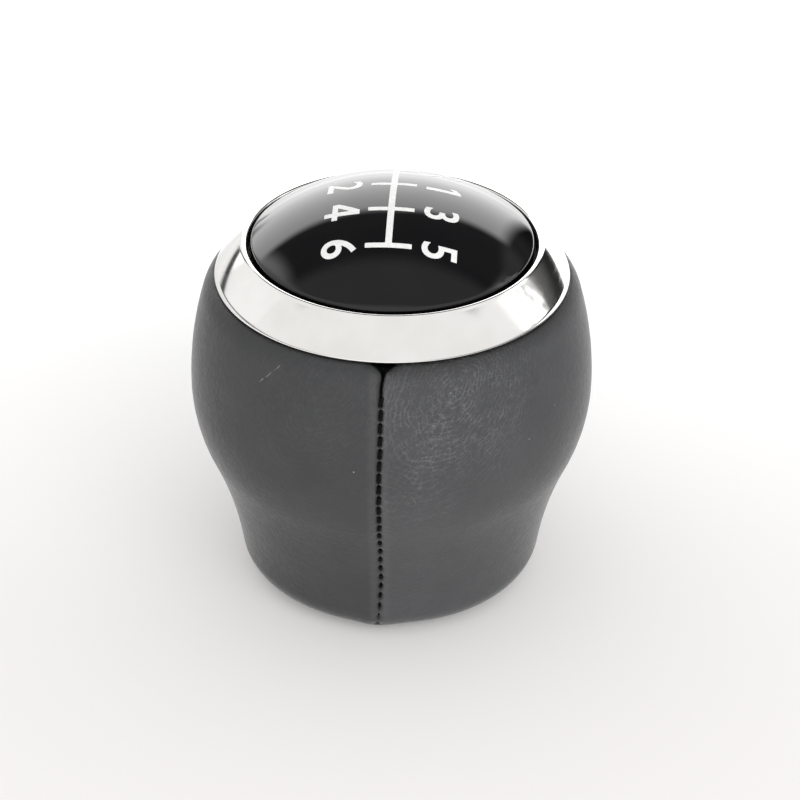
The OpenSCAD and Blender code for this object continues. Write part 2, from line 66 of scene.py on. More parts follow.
# The collar closes the underside: a black nylon moulding with a spark-eroded skin, snapped
# into the core's floor by three legs, and the ring on which the knob stands.
class Wire:
    """One output socket of a material's tree. Arithmetic on it adds Math nodes."""

    def __init__(self, socket):
        self.socket = socket

    def add(self, kind, settings, inputs, output=0):
        """A node of that kind, with its settings and then its sockets, each a value or a Wire."""
        tree = self.socket.id_data
        node = tree.nodes.new("ShaderNode" + kind)
        for name, value in settings.items():
            setattr(node, name, value)
        for name, value in inputs.items():
            if isinstance(value, Wire):
                tree.links.new(value.socket, node.inputs[name])
            else:
                node.inputs[name].default_value = value
        return Wire(node.outputs[output])

    def math(self, operation, first, second=0.0):
        return self.add("Math", {"operation": operation}, {0: first, 1: second})

    def __add__(self, other):
        return self.math("ADD", self, other)

    def __sub__(self, other):
        return self.math("SUBTRACT", self, other)

    def __rsub__(self, other):
        return self.math("SUBTRACT", other, self)

    def __mul__(self, other):
        return self.math("MULTIPLY", self, other)

    __radd__ = __add__
    __rmul__ = __mul__

    def rise(self, low, high, start=0.0, end=1.0):
        """A smooth step from start to end as this value goes from low to high."""
        return self.add("MapRange", {"interpolation_type": "SMOOTHSTEP"},
                        {"Value": self, "From Min": low, "From Max": high,
                         "To Min": start, "To Max": end})

    def fall(self, low, high, start=1.0):
        """A smooth step down from start to 0."""
        return self.rise(low, high, start, 0.0)

    def blend(self, first, second):
        """The colour between first and second, by this value."""
        return self.add("Mix", {"data_type": "RGBA"}, {0: self, 6: first, 7: second}, 2)

    def tint(self, first, second, low=0.3, high=0.7):
        """The colour from first to second as this value goes from low to high."""
        return self.rise(low, high).blend(first, second)

    def noise(self, size, detail=2.0, roughness=0.5, stretch=(1, 1, 1)):
        """Noise whose patches are about size metres across, or longer where stretched."""
        scaled = self.add("VectorMath", {"operation": "DIVIDE"}, {0: self, 1: stretch})
        return self.add("TexNoise", {}, {"Vector": scaled, "Scale": 1 / size, "Detail": detail,
                                         "Roughness": roughness})

    def axis(self, number):
        """This point's x, y or z, for the number 0, 1 or 2."""
        return self.add("SeparateXYZ", {}, {0: self}, number)


def finish(name, **values):
    """A material with those values on its shader. Also gives its shader and its surface points."""
    material = bpy.data.materials.new(name)
    material.use_nodes = True
    shader = material.node_tree.nodes["Principled BSDF"]
    for socket, value in values.items():
        shader.inputs[socket.replace("_", " ")].default_value = value
    points = material.node_tree.nodes.new("ShaderNodeTexCoord").outputs["Object"]
    return material, shader, Wire(points)


def feed(shader, **wires):
    """Links each Wire to the shader's socket of that name."""
    for socket, wire in wires.items():
        wire.socket.id_data.links.new(wire.socket, shader.inputs[socket.replace("_", " ")])


def relief(shader, height, depth):
    """Feeds the shader's normal with a bump of that height field, depth metres high."""
    bump = height.add("Bump", {}, {"Height": height, "Distance": depth, "Strength": 1.0})
    feed(shader, Normal=bump)


def coat(node, material):
    """Gives a CAD node that finish."""
    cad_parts[node].data.materials.clear()
    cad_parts[node].data.materials.append(material)


nylon, shader, points = finish("nylon", Roughness=0.5, IOR=1.53)
grain = points.noise(0.25 * MM, detail=3)
feed(shader, Base_Color=grain.tint((0.012, 0.0125, 0.0135, 1), (0.02, 0.021, 0.022, 1)),
     Roughness=grain.rise(0.3, 0.7, 0.42, 0.58))
relief(shader, grain, 0.02 * MM)
coat("base_collar", nylon)


# Two moulded halves carry everything. They are glass-filled nylon, with a boss, ribs and pillars
# inside, and three self-tapping screws hold them together.
core_nylon, shader, points = finish("core_nylon", Roughness=0.55, IOR=1.53)
fibres = points.noise(0.3 * MM, detail=4, roughness=0.6, stretch=(1, 1, 4))
feed(shader, Base_Color=fibres.tint((0.02, 0.021, 0.022, 1), (0.035, 0.036, 0.038, 1), 0.35),
     Roughness=fibres.rise(0.3, 0.7, 0.48, 0.66))
relief(shader, fibres, 0.03 * MM)
coat("core_lower", core_nylon)
coat("core_upper", core_nylon)

screw_steel, shader, points = finish("screw_steel", Metallic=1.0)
turning = points.noise(0.15 * MM, stretch=(6, 6, 1))
feed(shader, Base_Color=turning.tint((0.36, 0.37, 0.39, 1), (0.52, 0.53, 0.55, 1)),
     Roughness=turning.rise(0.3, 0.7, 0.25, 0.42))
coat("core_screws", screw_steel)


# The insert is turned from brass bar, and the lower half is moulded round it. The lever's thread
# runs into it from below; here it shows as fine turns in the bore.
thread_step, thread_depth = 1.25 * MM, 0.35 * MM
brass, shader, points = finish("brass", Metallic=1.0)
height = points.axis(2)
turns = height.math("PINGPONG", height, thread_step / 2) * (2 / thread_step)
patina = points.noise(1.5 * MM, detail=4)
feed(shader, Base_Color=patina.tint((0.62, 0.44, 0.17, 1), (0.45, 0.3, 0.11, 1), 0.35),
     Roughness=patina.rise(0.3, 0.7, 0.22, 0.4))
relief(shader, turns, thread_depth)
coat("threaded_insert", brass)


# The skin is two panels of smooth dark grey leather, 1.2 mm thick, stretched over the core and
# bonded to it. Their long edges turn in at two seams, on the right and on the left of the car, and
# their lower edges are tucked up behind the collar.
foot_radius, foot_lift, skirt_lean = 4.8, 0.25, radians(8)
low_radius, roll_radius, roll_end = 23.5, 6, radians(46.5)
tuck_radius, tuck_top, leather, foot_flat = 13.4, 4.25, 1.2, 0.45
bulb_height, bulge, crown_height, ring_inset, under_ring = 28.5, 6.2, 15, 3.35, 2.4

foot_centre = Vector((tuck_radius + leather + foot_flat, foot_lift + foot_radius))
skirt_out = Vector((cos(skirt_lean), -sin(skirt_lean)))
skirt_start = foot_centre + foot_radius * skirt_out
bulb_radius = skirt_start.x + bulge
ring_radius = bulb_radius - ring_inset
shoulder = bulb_height + crown_height
low_centre = Vector((bulb_radius - low_radius, bulb_height))
to_skirt = skirt_start - low_centre
skirt_room = 2 * (low_radius - to_skirt.dot(skirt_out))
waist_radius = (to_skirt.dot(to_skirt) - low_radius ** 2) / skirt_room
waist_centre = skirt_start + waist_radius * skirt_out
waist_end = atan2(low_centre.y - waist_centre.y, low_centre.x - waist_centre.x)
roll_centre = Vector((ring_radius - roll_radius * cos(roll_end),
                      shoulder - roll_radius * sin(roll_end)))
to_roll = roll_centre - Vector((bulb_radius, bulb_height))
high_radius = (roll_radius ** 2 - to_roll.dot(to_roll)) / (2 * (to_roll.x + roll_radius))
high_centre = Vector((bulb_radius - high_radius, bulb_height))
roll_start = atan2(roll_centre.y - high_centre.y, roll_centre.x - high_centre.x)
skin_arcs = [(foot_centre, foot_radius, -pi / 2, -skirt_lean, 1),
             (waist_centre, waist_radius, pi - skirt_lean, waist_end, -1),
             (low_centre, low_radius, waist_end - pi, 0, 1),
             (high_centre, high_radius, 0, roll_start, 1),
             (roll_centre, roll_radius, roll_start, roll_end, 1)]
skin_length = sum(radius * abs(last - first) for _, radius, first, last, _ in skin_arcs)


def on_skin(along, depth=0.0):
    """Radius, height and outward lean of the skin, at a distance along it from the foot."""
    if along < 0:
        return foot_centre.x + along, foot_lift + depth, -pi / 2
    for centre, radius, first, last, side in skin_arcs:
        length = radius * abs(last - first)
        if along <= length:
            angle = first + (last - first) * along / length
            spot = centre + (radius - side * depth) * Vector((cos(angle), sin(angle)))
            return spot.x, spot.y, angle if side > 0 else angle - pi
        along -= length
    return ring_radius - along, shoulder - depth, pi / 2


def ease(value, low, high):
    """0 up to low, 1 from high, and smooth between."""
    part = min(1, max(0, (value - low) / (high - low)))
    return part * part * (3 - 2 * part)


def dip(away, reach):
    """1 on a seam, and fading to nothing beyond about twice that reach from it."""
    return exp(-(away / reach) ** 2)


def settle(form, name, material, slot, *stands_for, sharp=35):
    """Closes a form that was modelled in millimetres and puts it on the knob as a piece."""
    bmesh.ops.remove_doubles(form, verts=form.verts, dist=0.0005)
    bmesh.ops.recalc_face_normals(form, faces=form.faces)
    bmesh.ops.scale(form, vec=(MM, MM, MM), verts=form.verts)
    data = bpy.data.meshes.new(name)
    form.to_mesh(data)
    form.free()
    data.shade_smooth()
    data.set_sharp_from_angle(angle=radians(sharp))
    data.materials.append(material)
    piece = bpy.data.objects.new(name, data)
    bpy.context.scene.collection.objects.link(piece)
    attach(piece, "root")
    if stands_for:
        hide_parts(*stands_for)


stitch_pitch = 1.75
first_stitch = foot_radius * (pi / 2 - skirt_lean) * 0.35
stitches = 24
last_stitch = first_stitch + (stitches - 1) * stitch_pitch
edge_roll = 0.45
deepest = 1.12


def wander(along, seam):
    """How far a seam strays towards +X from its straight line."""
    bend = 0.6 * (ease(along, 0, 11) - 1) + 0.1 * ease(along, 8, 13) + 0.14 * ease(along, 30, 38)
    bend += 0.2 * ease(along, 44, 46.5) + 0.02 * sin(along * 1.1)
    return bend * (1 if seam < 0 else -0.6)


def seam_shape(along, away):
    """The sideways and inward move of a point on the skin, so far along and away from a seam."""
    stitched = ease(along, first_stitch - 1.6, first_stitch - 0.4)
    stitched *= ease(last_stitch + 1.0 - along, 0, 0.7)
    low = 1 - ease(along, 5, 10.5)

    # Half way between two stitches the panels meet, over a longer stretch near the foot.
    narrow = 2.5 + 12 * ease(along, 20, 27)
    meet = (0.5 - 0.5 * cos(tau * (along - first_stitch) / stitch_pitch)) ** narrow * stitched
    half_gap = 0.12 * (1 - meet) * ease(along, 0.5, 2.0)

    # Each edge is rolled into the seam, and the skin sinks a little on its way there.
    rolled = 1 - sqrt(1 - (1 - min(1, away / edge_roll)) ** 2)
    depth = (0.85 - 0.25 * low) * (1 - 0.97 * meet) * rolled
    depth += 0.2 * dip(away, 2.2) + (0.14 - 0.08 * meet) * dip(away, 0.8)

    # Under the ring the seam opens into a notch, and the edge sinks. At the foot it stands out.
    notch = ease(along, skin_length - 2.1, skin_length + 0.4)
    funnel = max(0, 1 - away / (0.25 + 3.5 * notch))
    depth = min(deepest, depth + 1.15 * notch * funnel ** 1.2)
    depth = max(depth, 0.28 * ease(along, skin_length - 0.55, skin_length + 0.1))
    depth -= 0.55 * low * dip(away, 2.4)
    return half_gap * dip(away, 1.4) * ease(away, 0, 0.04), depth


# Points on a panel's inner side carry this in place of their distance along the skin. Crowding
# makes the columns of faces 14 times closer together at the seams than if they were even.
inner_side = -9
crowding = 0.93


def panel_section():
    """A panel's closed section: radius, height, and the distance along the skin, if on it."""
    outer_rows, inner_rows = 400, 30
    start, stop = -foot_flat, skin_length + under_ring
    loop = []
    for row in range(outer_rows + 1):
        along = start + (stop - start) * row / outer_rows
        radius, height, _ = on_skin(along)
        loop.append((radius, height, along))
    loop.append((ring_radius - under_ring, shoulder - leather, inner_side))
    for row in range(inner_rows, -1, -1):
        radius, height, _ = on_skin(skin_length * row / inner_rows, leather)
        loop.append((radius, height, inner_side))
    loop.append((tuck_radius + leather, tuck_top, inner_side))
    loop.append((tuck_radius, tuck_top, inner_side))
    for turned in range(180, 270, 15):
        bend = Vector((cos(radians(turned)), sin(radians(turned)))) * leather
        loop.append((tuck_radius + leather + bend.x, foot_lift + leather + bend.y, inner_side))
    return loop


def leather_panel(side):
    """One panel: its closed section turned through a half circle, then shaped at both seams."""
    form = bmesh.new()
    place = form.verts.layers.float.new("along")
    painted_shade = form.verts.layers.float.new("painted_shade")
    spots = []
    for radius, height, along in panel_section():
        spot = form.verts.new((0, -radius, height))
        spot[place] = along
        spots.append(spot)
    edges = [form.edges.new((spots[k], spots[k - 1])) for k in range(len(spots))]
    bmesh.ops.spin(form, geom=edges, cent=(0, 0, 0), axis=(0, 0, 1), angle=pi, steps=108)
    ends = [edge for edge in form.edges if edge.is_boundary]
    bmesh.ops.holes_fill(form, edges=ends, sides=0)
    for spot in form.verts:
        turned = atan2(spot.co.x, -spot.co.y) / pi
        turned = pi * (turned - crowding * sin(tau * turned) / tau)
        radius, height = hypot(spot.co.x, spot.co.y), spot.co.z
        away = abs(radius * sin(turned))
        seam = -1 if turned < pi / 2 else 1
        sideways = 0.0
        # A panel is painted near black deep in each seam and on its inner side, a painted shade for
        # the groove, less so near the foot.
        if spot[place] > inner_side + 1:
            sideways, depth = seam_shape(spot[place], away)
            radius, height, _ = on_skin(spot[place], depth)
            spot[painted_shade] = ease(depth, 0.5, 0.9) * (1 - 0.5 * ease(spot[place], 15, 6))
            sideways += side * wander(spot[place], seam) * dip(away, 5)
        else:
            spot[painted_shade] = 1
        spot.co = (side * (radius * sin(turned) + sideways), -radius * cos(turned), height)
    return form


def cover(material, shader, mask, colour):
    """Lays a plain matt colour over the finish where the mask is 1."""
    tree = material.node_tree
    plain = mask.add("BsdfDiffuse", {}, {"Color": colour})
    both = mask.add("MixShader", {}, {0: mask, 1: Wire(shader.outputs[0]), 2: plain})
    tree.links.new(both.socket, tree.nodes["Material Output"].inputs["Surface"])


def leather_creases(points, creased, swirl_at):
    """Creases that run round a spot and in a slanted net, and the noise that breaks them up."""
    arc_step, cell, bend_size, bend = 0.5 * MM, 0.6 * MM, 1.5 * MM, 0.7 * MM
    slanted = points.add("Mapping", {"vector_type": "TEXTURE"},
                         {"Vector": points, "Location": (swirl_at * MM, -22.5 * MM, 40 * MM),
                          "Rotation": (0, radians(-58), 0), "Scale": (1.7, 1, 1)})
    spread = slanted.add("VectorMath", {"operation": "LENGTH"}, {0: slanted}, 1)
    wavy = spread * (1 / arc_step) + slanted.noise(2.4 * MM, detail=3, roughness=0.55) * 3.8
    swirl = wavy.math("PINGPONG", wavy, 0.5).rise(0.28, 0.48)
    warp = points.add("TexNoise", {}, {"Vector": points, "Scale": 1 / bend_size, "Detail": 2.0}, 1)
    bent = points.add("VectorMath", {"operation": "MULTIPLY_ADD"},
                      {0: warp, 1: (bend, bend, bend), 2: slanted})
    net = points.add("TexVoronoi", {"feature": "DISTANCE_TO_EDGE"},
                     {"Vector": bent, "Scale": 1 / cell}).fall(0.0, 0.09)
    broken = slanted.noise(0.8 * MM, detail=2.5).rise(0.3, 0.58)
    patch = points.noise(7 * MM, detail=2).rise(0.32, 0.55, 0.45, 1.0)
    worn = spread.rise(5 * MM, 14 * MM, creased, 0.15 * creased)
    return (swirl * 0.6 + net * 0.8) * broken * worn * patch, broken


def leather_marks(points, broken):
    """A few pale specks, and a thin scratch high on the rear panel, 12.65 mm from the seam."""
    across, sideways, height = (points.axis(number) for number in range(3))
    specks = points.add("TexVoronoi", {}, {"Vector": points, "Scale": 1 / (5 * MM)})
    specks = specks.fall(0.018, 0.026, 0.8)
    slope = across - (height - 41.5 * MM) * 0.87 - points.noise(1.5 * MM) * (0.5 * MM) + 12.65 * MM
    scratch = slope.math("ABSOLUTE", slope).fall(0.03 * MM, 0.1 * MM)
    scratch = scratch * height.rise(38.4 * MM, 39 * MM) * height.fall(41 * MM, 41.8 * MM)
    scratch = scratch * sideways.fall(-1 * MM, 0, 0.8) * broken
    return specks + scratch


def leather_finish(name, dark, light, creased, swirl_at):
    """Smooth grained leather between two tones, with its creases and its marks."""
    material, shader, points = finish(name, IOR=1.45, Sheen_Weight=0.4, Sheen_Roughness=0.3,
                                      Specular_IOR_Level=0.35)
    pores = points.add("TexVoronoi", {"feature": "SMOOTH_F1"},
                       {"Vector": points, "Scale": 1 / (0.42 * MM), "Smoothness": 0.6})
    pebble = points.noise(0.8 * MM, detail=4, roughness=0.65)
    swell = points.noise(2.4 * MM, detail=2)
    crease, broken = leather_creases(points, creased, swirl_at)
    tone = points.noise(7 * MM, detail=3, roughness=0.6) * 0.45 + pebble * 0.55
    colour = tone.tint(dark, light, 0.32, 0.68)
    # The creases are painted paler, partly as wear on their ridges and partly as a painted
    # highlight where they catch the light.
    colour = (crease * 0.48).blend(colour, (0.2, 0.202, 0.208, 1))

    # Beside a seam the leather is painted paler, a painted highlight where its edge rolls into the
    # seam.
    across, height = points.axis(0), points.axis(2)
    aside = across.math("ABSOLUTE", across)
    seam_highlight = aside.rise(0.2 * MM, 0.5 * MM) * aside.fall(0.8 * MM, 1.7 * MM, 0.18) * pebble
    colour = seam_highlight.blend(colour, (0.2, 0.2, 0.2, 1))
    # Just under the ring the leather is painted darker, a painted shade from the ring, more on the
    # creased panel.
    painted_ring_shade = height.rise((shoulder - 2.4) * MM, shoulder * MM, 0.0, 0.2 + 0.4 * creased)
    colour = painted_ring_shade.blend(colour, (0.012, 0.012, 0.012, 1))
    colour = leather_marks(points, broken).blend(colour, (0.27, 0.27, 0.27, 1))
    feed(shader, Base_Color=colour, Roughness=pebble.rise(0.3, 0.7, 0.5, 0.66))
    relief(shader, pores * 0.5 + pebble * 1.1 + swell * 1.2 + crease * 0.8, 0.04 * MM)
    painted_shade = points.add("Attribute", {"attribute_name": "painted_shade"}, {}, 2)
    # Where the mesh marks it, deep in the seams, the leather is painted near black, a painted
    # shade.
    cover(material, shader, painted_shade, (0.004, 0.004, 0.0045, 1))
    return material


front_leather = leather_finish("front_leather", (0.058, 0.059, 0.062, 1), (0.072, 0.073, 0.077, 1),
                               creased=1.0, swirl_at=9.1)
rear_leather = leather_finish("rear_leather", (0.042, 0.043, 0.045, 1), (0.054, 0.055, 0.057, 1),
                              creased=0.14, swirl_at=-6)
settle(leather_panel(1), "front_panel", front_leather, "leather", "leather_front", sharp=60)
settle(leather_panel(-1), "rear_panel", rear_leather, "leather", "leather_rear", sharp=60)


# The stitches are short lengths of black thread that lie along each seam, a little aslant, and
# draw the two panels together between them.
stitch_sink = 0.42
# Parts of a stitch's half thickness and half length, from its one end to the other.
stitch_taper = ((0, -1), (0.55, -0.9), (0.9, -0.62), (1, -0.2),
                (1, 0.2), (0.9, 0.62), (0.55, 0.9), (0, 1))


def stitch_row(turn_round, seam):
    """The stitches of one seam, each a tapered length of thread, longer and thicker higher up."""
    form = bmesh.new()
    for number in range(stitches):
        along = first_stitch + number * stitch_pitch
        half = 0.33 + 0.36 * ease(number, 9, 13) + 0.05 * sin(number * 2.3)
        thick = 0.16 + 0.04 * ease(number, 6, 11)
        old = set(form.verts)
        outline = [form.verts.new((thick * out, 0, half * up)) for out, up in stitch_taper]
        edges = [form.edges.new((outline[k], outline[k + 1])) for k in range(len(outline) - 1)]
        bmesh.ops.spin(form, geom=edges, cent=(0, 0, 0), axis=(0, 0, 1), angle=tau, steps=12,
                       use_merge=True)
        new = [spot for spot in form.verts if spot not in old]
        radius, height, lean = on_skin(along, stitch_sink)
        slant = radians(11 + 8 * sin(number * 1.7))
        place = (Matrix.Rotation(turn_round, 4, "Z") @ Matrix.Translation((0, -radius, height))
                 @ Matrix.Rotation(-lean, 4, "X") @ Matrix.Rotation(slant, 4, "Y"))
        bmesh.ops.transform(form, matrix=place, verts=new)
        bmesh.ops.translate(form, vec=(wander(along, seam), 0, 0), verts=new)
    return form


thread, shader, points = finish("thread", Roughness=0.8, Specular_IOR_Level=0.06)
plies = points.noise(0.12 * MM, detail=2, stretch=(1, 1, 2.5))
feed(shader, Base_Color=plies.tint((0.003, 0.003, 0.0035, 1), (0.009, 0.009, 0.01, 1)))
relief(shader, plies, 0.04 * MM)
settle(stitch_row(0, -1), "right_stitches", thread, "thread", "seam_thread_right", sharp=80)
settle(stitch_row(pi, 1), "left_stitches", thread, "thread", "seam_thread_left", sharp=80)


# The trim ring is a plated ABS moulding; in the recess for the cap it is painted bare black, a
# painted shade for the narrow gap round the cap.
# Its sloping band bulges a little between a small lip on the leather and a bright inner edge, and
# six hooked legs on its spigot snap under the core.
band_height, band_width, band_curve, band_hollow = 4.7, 4.2, 30, 1.3
outer_lip, inner_lip = 0.24, 0.42
ring_wall, spigot_depth, spigot_clear, core_rim, flange = 1.3, 2.8, 0.15, 0.5, 2.4
hooks, hook_span, hook_reach, hook_nose, hook_play = 6, radians(16), 0.9, 1.9, 0.1
cap_gap, cap_sink, cap_rim, tape = 0.45, 1.6, 2.4, 0.4

ring_top = shoulder + band_height
ring_inside = ring_radius - band_width
ledge = ring_top - cap_sink - tape
spigot = ring_radius - under_ring - core_rim - spigot_clear
spigot_inside = spigot - ring_wall
rim_inside = ring_inside - cap_gap - cap_rim
hook_level = shoulder - leather - flange - hook_play


def arc_points(centre, radius, first, last, count):
    """Points along an arc, with its angles in degrees."""
    turns = [radians(first + (last - first) * k / count) for k in range(count + 1)]
    return [(centre[0] + radius * cos(turn), centre[1] + radius * sin(turn)) for turn in turns]


def turned_form(form, outline, start, angle, steps):
    """Turns a closed outline of radius and height about the knob's axis, and closes its ends."""
    spots = [form.verts.new((radius, 0, height)) for radius, height in outline]
    edges = [form.edges.new((spots[k], spots[k - 1])) for k in range(len(spots))]
    bmesh.ops.rotate(form, cent=(0, 0, 0), matrix=Matrix.Rotation(start, 3, "Z"), verts=spots)
    whole = angle == tau
    bmesh.ops.spin(form, geom=edges, cent=(0, 0, 0), axis=(0, 0, 1), angle=angle, steps=steps,
                   use_merge=whole)
    if not whole:
        ends = [edge for edge in form.edges if edge.is_boundary]
        bmesh.ops.holes_fill(form, edges=ends, sides=0)


low = Vector((ring_radius - 0.12, shoulder + 0.62))
high = Vector((ring_inside + inner_lip + 0.23, ring_top - 0.13))
chord = high - low
inward = Vector((-chord.y, chord.x)).normalized()
middle = (low + high) / 2 + inward * sqrt(band_curve ** 2 - chord.length_squared / 4)
band_first = degrees(atan2(low.y - middle.y, low.x - middle.x))
band_last = degrees(atan2(high.y - middle.y, high.x - middle.x))
ring_outline = (arc_points((ring_radius - outer_lip, shoulder + outer_lip), outer_lip, -90, 40, 6)
                + arc_points(middle, band_curve, band_first, band_last, 14)
                + arc_points((ring_inside + inner_lip, ring_top - inner_lip), inner_lip, 62, 180, 7)
                + [(ring_inside, ledge), (rim_inside, ledge), (rim_inside, ledge - ring_wall),
                   (spigot_inside, ledge - ring_wall), (spigot_inside, shoulder - spigot_depth),
                   (spigot, shoulder - spigot_depth), (spigot, shoulder + band_hollow),
                   (spigot + 0.5, shoulder + band_hollow),
                   (ring_radius - ring_wall, shoulder + 0.4), (ring_radius - ring_wall, shoulder)])
ring = bmesh.new()
turned_form(ring, ring_outline, 0, tau, 288)
leg_top = shoulder - 2.7
leg_outline = [(spigot_inside, hook_level - hook_nose), (spigot - 0.2, hook_level - hook_nose),
               (spigot + hook_reach, hook_level - 0.5), (spigot + hook_reach, hook_level),
               (spigot, hook_level), (spigot, leg_top), (spigot_inside, leg_top)]
for number in range(hooks):
    start = tau * (number + 0.5) / hooks - hook_span / 2
    turned_form(ring, leg_outline, start, hook_span, 8)

chrome, shader, points = finish("chrome")
haze = points.noise(6 * MM, detail=3)
rubbed = points.noise(0.35 * MM, detail=2, stretch=(7, 7, 1)).rise(0.5, 0.75)
flat = points.add("VectorMath", {"operation": "MULTIPLY"}, {0: points, 1: (1, 1, 0)})
reach = flat.add("VectorMath", {"operation": "LENGTH"}, {0: flat}, 1)
# In the recess for the cap the ring is painted matt black in place of plating, a painted shade for
# the gap.
within = reach.fall((ring_inside + 0.02) * MM, (ring_inside + 0.06) * MM)
below = points.axis(2).fall((ring_top - 0.5) * MM, (ring_top - 0.4) * MM)
outside_recess = 1 - within * below
plating = haze.tint((0.80, 0.79, 0.765, 1), (0.86, 0.85, 0.83, 1))
feed(shader, Base_Color=outside_recess.blend((0.006, 0.006, 0.007, 1), plating), Metallic=outside_recess,
     Roughness=haze.rise(0.3, 0.7, 0.05, 0.11) + rubbed * 0.05 + (1 - outside_recess) * 0.5)
settle(ring, "trim_ring", chrome, "chrome", "chrome_ring", sharp=30)


# A ring of white foam tape, 0.4 mm thick, bonds the cap to the trim ring's ledge. The cap is
# pressed onto it by hand, and hides it.
foam, shader, points = finish("foam_tape", Roughness=0.9)
cells = points.noise(0.2 * MM, detail=3)
feed(shader, Base_Color=cells.tint((0.62, 0.61, 0.57, 1), (0.76, 0.75, 0.71, 1)))
relief(shader, cells, 0.05 * MM)
coat("cap_adhesive", foam)


# The cap is a shallow dome moulded in gloss black, 2 mm thick, with a rounded edge. It stands
# 0.2 mm proud inside the trim ring, with a dark gap all round.
cap_radius = ring_inside - cap_gap
cap_rise, cap_proud, cap_edge, cap_wall = 6.08, 0.17, 0.6, 2

dome_radius = (cap_radius ** 2 + cap_rise ** 2) / (2 * cap_rise)
dome_top = ring_top + cap_proud + cap_rise
dome_middle = dome_top - dome_radius
edge_middle = (cap_radius - cap_edge,
               dome_middle + sqrt((dome_radius - cap_edge) ** 2 - (cap_radius - cap_edge) ** 2))
edge_lean = degrees(atan2(edge_middle[1] - dome_middle, edge_middle[0]))
hollow_radius = dome_radius - cap_wall
hollow_lean = degrees(acos(rim_inside / hollow_radius))
cap_outline = (arc_points((0, dome_middle), hollow_radius, 90, hollow_lean, 16)
               + [(rim_inside, ring_top - cap_sink), (cap_radius, ring_top - cap_sink)]
               + arc_points(edge_middle, cap_edge, 0, edge_lean, 8)
               + arc_points((0, dome_middle), dome_radius, edge_lean, 90, 40)[1:])
cap = bmesh.new()
spots = [cap.verts.new((radius, 0, height)) for radius, height in cap_outline]
edges = [cap.edges.new((spots[k], spots[k + 1])) for k in range(len(spots) - 1)]
bmesh.ops.spin(cap, geom=edges, cent=(0, 0, 0), axis=(0, 0, 1), angle=tau, steps=256,
               use_merge=True)

gloss_black, shader, points = finish("gloss_black", IOR=1.5)
smear = points.noise(5 * MM, detail=3)
feed(shader, Base_Color=smear.tint((0.0022, 0.0022, 0.003, 1), (0.0035, 0.0035, 0.0042, 1)),
     Roughness=smear.rise(0.35, 0.75, 0.03, 0.06))
settle(cap, "domed_cap", gloss_black, "gloss_black", "dome_cap", sharp=50)


# The shift diagram is white: its lines are grooves filled with paint, and the numerals are
# printed beside their ends, with their tops towards the front of the car.
gate_step, gate_shift, gate_turn = 6.7, 0.3, radians(0.6)
gate_rows = [gate_shift + step * gate_step for step in (-1.5, -0.5, 0.5, 1.5)]
half_line, half_row, half_bar = 0.41, 0.37, 2.9
line_thickness, print_thickness, paint_proud = 0.16, 0.04, 0.02
numeral_height = 4.4


def lay_on_dome(form, thickness):
    """Cuts flat faces into small ones, drapes them on the dome and gives them a thickness."""
    for axis in range(2):
        for cut in range(-30, 31):
            plane = Vector((0, 0, 0))
            plane[axis] = 1
            bmesh.ops.bisect_plane(form, geom=form.verts[:] + form.edges[:] + form.faces[:],
                                   plane_co=plane * cut * 0.61, plane_no=plane)
    bmesh.ops.rotate(form, cent=(0, 0, 0), matrix=Matrix.Rotation(gate_turn, 3, "Z"),
                     verts=form.verts)
    for spot in form.verts:
        over = (dome_radius + paint_proud) ** 2 - spot.co.x ** 2 - spot.co.y ** 2
        spot.co.z = dome_middle + sqrt(over)
    made = bmesh.ops.extrude_face_region(form, geom=form.faces[:], use_keep_orig=True)
    lower = [item for item in made["geom"] if isinstance(item, bmesh.types.BMVert)]
    for spot in lower:
        outward = (spot.co - Vector((0, 0, dome_middle))).normalized()
        spot.co -= outward * thickness


outline = []
for row in gate_rows[:3]:
    outline += [(half_line, row - half_row), (half_bar, row - half_row),
                (half_bar, row + half_row), (half_line, row + half_row)]
outline += [(half_line, gate_rows[3] - half_row), (half_bar, gate_rows[3] - half_row),
            (half_bar, gate_rows[3] + half_row), (-half_line, gate_rows[3] + half_row)]
for row in reversed(gate_rows[:3]):
    outline += [(-half_line, row + half_row), (-half_bar, row + half_row),
                (-half_bar, row - half_row), (-half_line, row - half_row)]
lines = bmesh.new()
corners = [lines.verts.new((x, y, 0)) for x, y in outline]
lines.faces.new(corners)
bmesh.ops.bevel(lines, geom=corners, offset=0.1, affect="VERTICES", segments=2, profile=0.5,
                material=-1)
bmesh.ops.remove_doubles(lines, verts=lines.verts, dist=0.001)
lay_on_dome(lines, line_thickness)

marking, shader, points = finish("marking", Roughness=0.45)
print_tone = points.noise(0.6 * MM, detail=3)
feed(shader, Base_Color=print_tone.tint((0.80, 0.80, 0.79, 1), (0.88, 0.88, 0.87, 1)))
settle(lines, "diagram_lines", marking, "marking", "gate_pattern", sharp=40)


def flat_numeral(text, loops):
    """A numeral as flat faces, filled between its drawn loops or taken from the built-in font."""
    glyph = bmesh.new()
    for loop in loops:
        corners = [glyph.verts.new((x, y, 0)) for x, y in loop]
        for k in range(len(corners)):
            glyph.edges.new((corners[k - 1], corners[k]))
    if loops:
        bmesh.ops.triangle_fill(glyph, edges=glyph.edges[:], use_beauty=True)
        return glyph
    writing = bpy.data.curves.new("numeral", "FONT")
    writing.body = text
    writing.size = 6.0
    writing.offset = 0.08
    writing.align_x = "CENTER"
    writing.align_y = "CENTER"
    writing.resolution_u = 6
    lettering = bpy.data.objects.new("numeral", writing)
    bpy.context.scene.collection.objects.link(lettering)
    bpy.context.view_layer.update()
    glyph.from_mesh(bpy.data.meshes.new_from_object(lettering))
    bpy.data.objects.remove(lettering)
    return glyph


